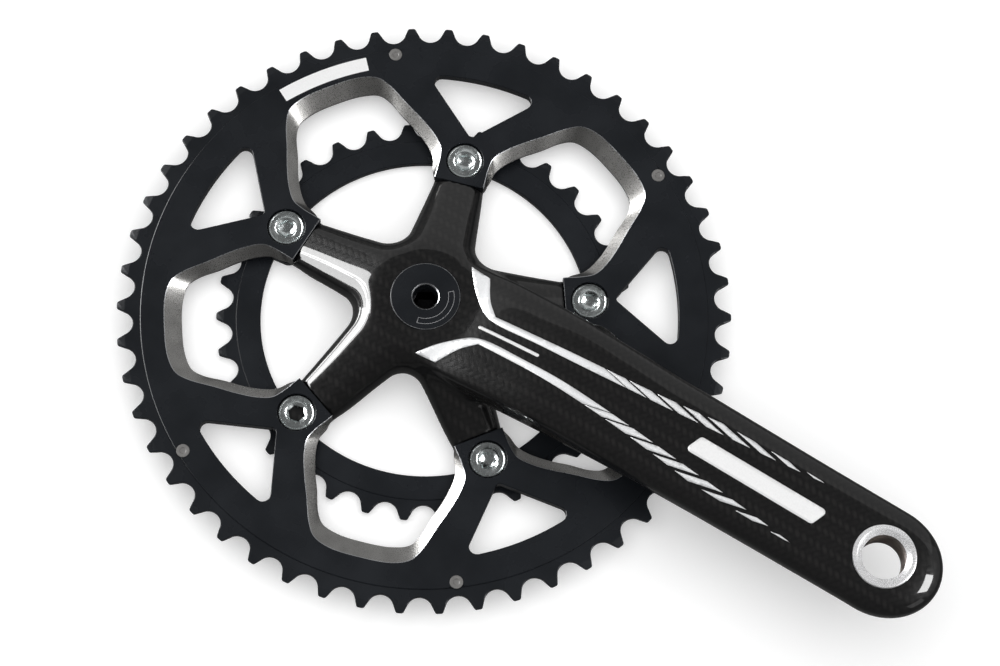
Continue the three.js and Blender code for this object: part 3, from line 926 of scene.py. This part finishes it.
def patch(shape, outline, tree, spacing=1.2):
    low, high = outline.min(0), outline.max(0)
    xs = np.arange(low[0], high[0], spacing)
    ys = np.arange(low[1], high[1], spacing)
    grid = np.array([(x, y) for x in xs for y in ys])
    grid = grid[inside(grid, outline)]
    grid = [p for p in grid if np.linalg.norm(outline - p, axis=1).min() > 0.4 * spacing]
    flat = [Vector(p) for p in [*outline, *grid]]
    count = len(outline)
    edges = [(i, (i + 1) % count) for i in range(count)]
    places, _, triangles, origin, _, _ = delaunay_2d_cdt(flat, edges, [], 0, 1e-6)
    middles = np.array([np.mean([places[i] for i in t], axis=0) for t in triangles])
    kept = [t for t, ok in zip(triangles, inside(middles, outline)) if ok]
    tops, bottoms = [], []
    for p in places:
        hit, normal, _, _ = tree.ray_cast(Vector((p[0] * MM, p[1] * MM, 0.1)), Vector((0, 0, -1)))
        tops.append(len(shape.points))
        shape.points.append(tuple((hit + normal * PRINT_LIFT * MM) / MM))
        bottoms.append(len(shape.points))
        shape.points.append(tuple((hit - normal * PRINT_SINK * MM) / MM))
    for t in kept:
        shape.face([tops[i] for i in t], smooth=True)
        shape.face([bottoms[i] for i in t[::-1]], smooth=True)
    rim = [[i for i, o in enumerate(origin) if k in o][0] for k in range(count)]
    for a, b in zip(rim, rim[1:] + rim[:1]):
        if a != b:
            shape.face((bottoms[a], bottoms[b], tops[b], tops[a]))


def sampled(outline, spacing=0.8):
    """The same closed outline with points no further apart than the spacing, and none doubled."""
    points = []
    for a, b in zip(outline, np.roll(outline, -1, 0)):
        length = np.linalg.norm(b - a)
        if length > 1e-4:
            steps = max(1, int(length / spacing))
            points += [a + (b - a) * i / steps for i in range(steps)]
    return np.array(points)


# The stripe on the +Y side, along and across the arm: its inner edge from the tip beside the hub
# to the far tip, and its outer edge in three stretches that meet at corners. Cuts cross it at a
# slant, and each is given by where it meets the outer edge and by its width across the arm.
STRIPE_INNER = [(7.3, 17.4), (13.2, 10.3), (20.4, 4.6), (25.3, 3.3), (39.5, 3.4), (55, 3.7), (79.6, 5.4),
                (105, 7.6), (123, 9.2), (132, 10.1), (142.3, 11.25)]
STRIPE_OUTER = [[(14.7, 16.9), (19.3, 9.6), (23.8, 5.4)],
                [(23.8, 5.4), (46.5, 5.95), (72, 7.5), (91.4, 9.4), (105, 11.05)],
                [(105, 11.05), (119, 11.35), (142.3, 11.5)]]
STRIPE_CUTS = [(63.6, 0.2), (71.0, 0.45), (80.2, 0.65), (88.8, 0.8), (96.9, 1.0), (105.3, 1.15),
               (116.9, 1.35), (128.9, 1.5)]
CUT_SLOPE = -0.22
PRINT_SHIFT = -0.5  # the prints sit this far to one side of the arm's middle


def clipped(outline, at, height, above):
    """The part of a closed outline above or below a line of the cuts' slope through a point."""
    sign = 1 if above else -1
    depth = sign * (outline[:, 1] - height - CUT_SLOPE * (outline[:, 0] - at))
    points = []
    for p, q, a, b in zip(outline, np.roll(outline, -1, 0), depth, np.roll(depth, -1)):
        if a >= 0:
            points.append(p)
        if a * b < 0:
            points.append(p + (q - p) * a / (a - b))
    return np.array(points)


def stripe_patches():
    """The stripe's pieces between its cuts, anticlockwise."""
    outer = np.vstack([spline(stretch, 8) for stretch in STRIPE_OUTER])
    whole = np.vstack([spline(STRIPE_INNER, 8), outer[-2::-1]])
    pieces, rest = [], whole
    for at, width in STRIPE_CUTS:
        height = np.interp(at, outer[:, 0], outer[:, 1])
        pieces.append(clipped(rest, at, height, above=False))
        rest = clipped(rest, at, height + width, above=True)
    return [*pieces, rest]


def bar(x0, x1, y0, y1, radius=0.6, lean=0.0):
    """A rounded bar along the arm, its ends leaning by the given length."""
    corners = [(x0 - lean / 2, y0), (x1 - lean / 2, y0), (x1 + lean / 2, y1), (x0 + lean / 2, y1)]
    return rounded(corners, [radius] * 4, 5)


def prints(tree):
    shift = np.array([0, PRINT_SHIFT])
    stripe = stripe_patches()
    draped("stripe_left", [p + shift for p in stripe], SILVER, tree)
    draped("stripe_right", [p[::-1] * (1, -1) + shift for p in stripe], SILVER, tree)
    draped("arm_panel", [bar(100.2, 146.6, -3.2, 3.15, 1.3, 2.6)], WHITE, tree)
    draped("hub_line", [bar(20.6, 43.2, -0.55, 0.55, 0.5) + shift], WHITE, tree)


surface = BVHTree.FromObject(body, bpy.context.evaluated_depsgraph_get())
prints(surface)


def ring_panel():
    """A plain bar on the outer ring's face, following its rim."""
    shape = Shape()
    start, stop = math.radians(134.7), math.radians(154.4)
    outline = np.vstack([arc((0, 0), 93.0, start, stop, 40), arc((0, 0), 88.2, stop, start, 40)])
    levels = [(0, OUTER["front"] - 0.05), (0, OUTER["front"] + 0.025)]
    low, high = shape.wall(outline, levels)
    shape.cap(high)
    shape.cap(low, up=False)
    place(shape.mesh("ring_panel", [WHITE]), "ring_panel", CRANK, [], "silver_print")


ring_panel()


# ---- Turned metal pieces ----
def turned(profile, segments=96, slots=None):
    """A closed profile of (radius, height) turned about Z, going up on its outside."""
    shape = Shape()
    outlines = [circle(radius, segments) if radius else [(0, 0)] for radius, _ in profile]
    rings = [shape.ring(outline, height) for outline, (_, height) in zip(outlines, profile)]
    for i, (a, b) in enumerate(zip(rings, rings[1:] + rings[:1])):
        if len(a) > 1 and len(b) > 1:
            shape.strip(a, b, slots[i] if slots else 0)
        elif len(a) > 1:
            shape.fan(a, b[0])
        elif len(b) > 1:
            shape.fan(b[::-1], a[0])
    return shape


def round_corners(profile, radius=0.2, steps=3):
    """A profile with its square corners rounded; points on the axis stay."""
    made = []
    count = len(profile)
    for i, corner in enumerate(profile):
        before, after = profile[i - 1], profile[(i + 1) % count]
        if corner[0] == 0:
            made.append(corner)
            continue
        p, a, b = (np.array(v, float) for v in (corner, before, after))
        to_a, to_b = a - p, b - p
        room = min(np.linalg.norm(to_a), np.linalg.norm(to_b)) * 0.45
        reach = min(radius, room)
        a, b = p + to_a / np.linalg.norm(to_a) * reach, p + to_b / np.linalg.norm(to_b) * reach
        for t in np.linspace(0, 1, steps + 1):
            q = (1 - t) ** 2 * a + 2 * t * (1 - t) * p + t * t * b
            made.append((q[0], q[1]))
    return made


def finished(shape, name, materials):
    return sharpened(shape.mesh(name, materials), 32)


def hex_socket(shape, ring_top, top, radius_top, across, floor):
    """A hexagonal socket sunk from a ring of vertices at its mouth down to a pointed floor."""
    count = len(ring_top)
    angles = np.arange(count) * 2 * math.pi / count
    sector = math.pi / 3
    distance = across / 2 / np.cos((angles + sector / 2) % sector - sector / 2)
    hexagon = around(distance, angles)
    mouth = shape.ring(hexagon, top - 0.35 * (radius_top - distance) - 0.25)
    bottom = shape.ring(hexagon, floor)
    drill_point = shape.ring(circle(across * 0.36, count), floor - 0.35)
    tip = len(shape.points)
    shape.points.append((0, 0, floor - 1.0))
    shape.loft([ring_top, mouth, bottom, drill_point])
    shape.fan(drill_point, tip)


def socket_screw(outside, across, floor, segments=96):
    """A screw: an outside profile from the axis below up to the socket's mouth."""
    shape = Shape()
    shape.points.append((0, 0, outside[0][1]))
    rings = shape.lathe(outside[1:], segments)
    shape.fan(rings[0][::-1], 0)
    hex_socket(shape, rings[-1], outside[-1][1], outside[-1][0], across, floor)
    return shape


def chainring_bolts():
    """Five bolts whose heads have a raised rim, two arcs of ticks and a hexagonal socket."""
    outside = [(0, 3.05), (3.5, 3.05), (3.85, 3.4), (3.85, 9.0), (5.9, 9.0), (6.0, 9.1), (6.0, 10.0),
               (5.93, 10.25), (5.75, 10.38), (5.55, 10.38), (5.42, 10.22), (5.3, 10.14),
               (3.75, 10.14), (3.62, 10.2), (3.5, 10.3), (3.3, 10.3), (3.1, 10.15)]
    shape = socket_screw(outside, across=5, floor=7.6)
    tick_marks(shape)
    mesh = finished(shape, "chainring_bolt", [PLATED])
    place_round(mesh, "ring_bolt", "chainring_bolt", BOLT_CIRCLE, BOLT_ANGLES, twist=(0.4, 1.1))


def tick_marks(shape):
    """Two arcs of small raised ticks round the bolt head's face."""
    low, high = 10.1, 10.24
    tick = ((4.05, -0.16), (5.05, -0.2), (5.05, 0.2), (4.05, 0.16))
    for middle in (0.0, math.pi):
        for i in range(-7, 8):
            angle = middle + i * 0.135
            radial, across = polar(1, angle), polar(1, angle + math.pi / 2)
            shape.prism([radial * r + across * w for r, w in tick], low, high, smooth=False)


def chainring_nuts():
    """Five sleeve nuts, whose tubes the bolts screw into from the front."""
    profile = round_corners([(4.1, 0.3), (6.0, 0.3), (6.0, 1.6), (5.0, 1.6), (5.0, 8.5), (4.1, 8.5)], 0.25)
    mesh = finished(turned(profile, 72), "chainring_nut", [PLATED])
    place_round(mesh, "ring_nut", "chainring_nut", BOLT_CIRCLE, BOLT_ANGLES)


def pins():
    shift = round_corners([(0, 5.0), (3.1, 5.0), (3.1, 7.0), (2.2, 7.0), (2.2, 11.05), (1.1, 11.05),
                           (0.9, 10.8), (0, 10.8)], 0.15)
    mesh = finished(turned(shift, 64), "shift_pin", [PIN_STEEL])
    place_round(mesh, "ramp_pin", "shift_pin", PIN_CIRCLE, PIN_ANGLES)
    drop = round_corners([(0, 7.4), (1.5, 7.4), (1.5, 11.3), (2.6, 11.3), (2.6, 18.5), (0, 18.5)], 0.35)
    place(finished(turned(drop, 64), "drop_pin", [PIN_STEEL]), "drop_pin", CRANK, ["chain_drop_pin"],
          "plated_steel", on_circle(DROP_PIN_CIRCLE, 0))


def etched_slot():
    """A plain etched line round a curved slot on the cap's face."""
    start, stop, line = math.radians(-76), math.radians(44), 0.16
    inner, outer = 7.5, 9.5
    foot, top = 25.86, 25.9
    shape = Shape()
    edges = [(inner, outer, start, stop), (inner + line, outer - line, start + 0.02, stop - 0.02)]
    rings = []
    for low, high, a, b in edges:
        outline = np.vstack([arc((0, 0), high, a, b, 40), arc((0, 0), low, b, a, 40)])
        rings += [shape.ring(outline, foot), shape.ring(outline, top)]
    shape.loft([rings[0], rings[1], rings[3], rings[2], rings[0]], smooth=False)
    place(shape.mesh("cap_slot", [GREY_PRINT]), "cap_slot", CRANK, [], "silver_print")


def hub_pieces():
    """The extractor cap with its etched slot, and the crank bolt with its washer."""
    cap = [(4.1, 19.5), (10.6, 19.5), (10.6, 23.7), (11.5, 23.7), (11.5, 25.84), (11.38, 25.95),
           (11.2, 25.97), (10.8, 25.88), (4.6, 25.88), (4.32, 25.68), (4.1, 25.2)]
    slots = [0, 0, 0, 0, 0, 1, 0, 0, 1, 1, 0]
    mesh = finished(turned(cap, 160, slots), "extractor_ring", [CAP_BLACK, BEVEL_EDGE])
    place(mesh, "extractor_ring", CRANK, ["extractor_cap"], "black_anodised")
    etched_slot()
    bolt = [(0, 4.0), (6.5, 4.0), (7.3, 4.8), (7.3, 15.8), (8.6, 15.8), (8.8, 16.0), (8.8, 18.6), (8.6, 19.0),
            (8.2, 19.2), (5.4, 19.2), (5.0, 19.1), (4.9, 18.9)]
    mesh = finished(socket_screw(bolt, across=8, floor=10), "axle_bolt", [BLACK_OXIDE])
    place(mesh, "axle_bolt", CAPTIVE_BOLT, ["crank_bolt"], "black_steel")
    washer = round_corners([(7.7, 14.3), (10, 14.3), (10, 15.5), (7.7, 15.5)], 0.25)
    place(finished(turned(washer, 96), "bolt_washer", [PLATED]), "bolt_washer", CRANK,
          ["crank_bolt_washer"], "plated_steel")


def spline_outline(segments_per=24):
    """The socket's ten splines as a smooth wave between root and crest."""
    root, crest, count = 10.6, 9.4, 10
    angles = np.linspace(0, 2 * math.pi, count * segments_per, endpoint=False)
    wave = np.clip(1.5 * np.cos(count * angles), -1, 1)
    radius = (root + crest) / 2 + (root - crest) / 2 * wave
    return around(radius, angles)


def spindle_insert():
    shape = Shape()
    outside = shape.lathe([(14.2, 0.0), (14.5, 0.1), (14.6, 0.4), (14.6, 23.1), (14.4, 23.4), (11.2, 23.4),
                           (10.9, 23.1), (10.9, 14.0), (7.9, 14.0), (7.9, 12.0)], 240)
    splines = spline_outline()
    wide = splines * (1 + 0.5 / np.linalg.norm(splines, axis=1))[:, None]
    shelf, deep, mouth = [shape.ring(splines, height) for height in (12.0, 0.5, 0.5)]
    shape.loft([outside[-1], shelf, deep])
    shape.loft([mouth, shape.ring(wide, 0.0), outside[0]])
    mesh = finished(shape, "splined_insert", [TURNED])
    weld(mesh)
    place(mesh, "splined_insert", CRANK, ["spindle_insert"], "bare_aluminium")


def weld(mesh, distance=1e-6):
    work = bmesh.new()
    work.from_mesh(mesh)
    bmesh.ops.remove_doubles(work, verts=work.verts, dist=distance)
    work.to_mesh(mesh)
    work.free()


def pedal_insert():
    """The threaded insert: a chamfered ring with a right-hand thread in its bore."""
    back, face, radius, bore, pitch = (PEDAL[k] for k in ("back", "face", "radius", "bore", "pitch"))
    count = 96
    depth = 0.6
    per_turn = 8
    steps = int((face - 1.2 - back) / pitch * per_turn)
    shape = Shape()
    profile = [(bore + 0.7, back), (radius - 0.3, back), (radius, back + 0.3), (radius, face - 0.35),
               (radius - 0.1, face - 0.1), (radius - 0.35, face), (bore + 1.75, face),
               (bore + 1.6, face - 0.05), (bore + 0.35, face - 1.0)]
    outside = shape.lathe(profile, count)
    angles = np.arange(count) * 2 * math.pi / count
    rows = []
    for i in range(steps + 1):
        z = face - 1.2 - (face - 1.2 - back - 0.3) * i / steps
        phase = (z / pitch - angles / (2 * math.pi)) % 1
        fade = min(1, i / per_turn, (steps - i) / per_turn)
        deep = bore + depth * fade * (1 - np.abs(2 * phase - 1)) * 0.9
        rows.append(shape.ring(around(deep, angles), z))
    shape.strip(outside[-1], rows[0])
    shape.loft([*rows, outside[0]], 1)
    mesh = finished(shape, "threaded_insert", [TURNED, THREAD_METAL])
    place(mesh, "threaded_insert", CRANK, ["pedal_insert"], "bare_aluminium",
          Matrix.Translation((CRANK_LENGTH * MM, 0, 0)))


chainring_bolts()
chainring_nuts()
pins()
hub_pieces()
spindle_insert()
pedal_insert()


# ---- Floor, light and camera ----
FLOOR_HALF = 2500
FLOOR_HEIGHT = -0.05  # just under the part's lowest face


def floor():
    """The floor, which reflections don't show, so that the black edges stay dark."""
    shape = Shape()
    sides = [(-1, -1), (1, -1), (1, 1), (-1, 1)]
    shape.face(shape.ring([(FLOOR_HALF * x, FLOOR_HALF * y) for x, y in sides], FLOOR_HEIGHT))
    plane = added("floor", shape.mesh("floor", [pale_floor()]))
    plane.visible_glossy = False


CAMERA_RIGHT = Vector((0.8506, 0.5246, 0.0357))
CAMERA_UP = Vector((-0.5099, 0.8064, 0.2996))
CAMERA_BACK = Vector((0.1284, -0.2730, 0.9534))
CAMERA_PLACE = Vector((140.8, -239.2, 869.3)) * MM
CAMERA_LENS = 97.62
LIGHT_DISTANCE = 1.4
WORLD_STRENGTH = 0.11


def camera():
    data = bpy.data.cameras.new("camera")
    data.lens = CAMERA_LENS
    data.sensor_width = 36
    data.clip_start = 0.05
    data.clip_end = 10
    seen = added("camera", data)
    axes = Matrix((CAMERA_RIGHT, CAMERA_UP, CAMERA_BACK)).transposed()
    seen.matrix_world = Matrix.Translation(CAMERA_PLACE) @ axes.to_4x4()
    bpy.context.scene.camera = seen


def soft_box(name, azimuth, elevation, wide, tall, radiance, diffuse=False, glossy=True):
    """An area light facing the arm: its direction in the part's frame and its size, in degrees."""
    a, b = math.radians(azimuth), math.radians(elevation)
    towards = Vector((math.cos(a) * math.cos(b), math.sin(a) * math.cos(b), math.sin(b)))
    data = bpy.data.lights.new(name, "AREA")
    data.shape = "RECTANGLE"
    data.size = 2 * LIGHT_DISTANCE * math.tan(math.radians(wide / 2))
    data.size_y = 2 * LIGHT_DISTANCE * math.tan(math.radians(tall / 2))
    data.energy = radiance * math.pi * data.size * data.size_y
    lamp = added(name, data)
    lamp.location = Vector((0.04, 0, 0)) + towards * LIGHT_DISTANCE
    lamp.rotation_euler = towards.to_track_quat("Z", "Y").to_euler()
    lamp.visible_diffuse = diffuse
    lamp.visible_glossy = glossy


def world():
    made = bpy.data.worlds.new("studio")
    made.use_nodes = True
    background = made.node_tree.nodes["Background"]
    background.inputs["Color"].default_value = (1, 1, 1, 1)
    background.inputs["Strength"].default_value = WORLD_STRENGTH
    bpy.context.scene.world = made


def lights():
    soft_box("overhead", 0, 88, 74, 74, 2.1, diffuse=True, glossy=False)
    soft_box("key_left", 181.5, 9.5, 26, 60, 14)
    soft_box("key_low", 207, 9, 36, 24, 12)
    soft_box("key_mid", 196, 22, 12, 18, 13)
    soft_box("end_glint", 20, 46, 16, 16, 17)
    soft_box("low_right", -12.6, 25, 18, 22, 0.7)
    soft_box("back", 108, 26, 90, 56, 0.33)
    soft_box("right", 30, 25, 50, 40, 0.25)


floor()
camera()
world()
lights()
bpy.context.scene.view_settings.view_transform = "Standard"
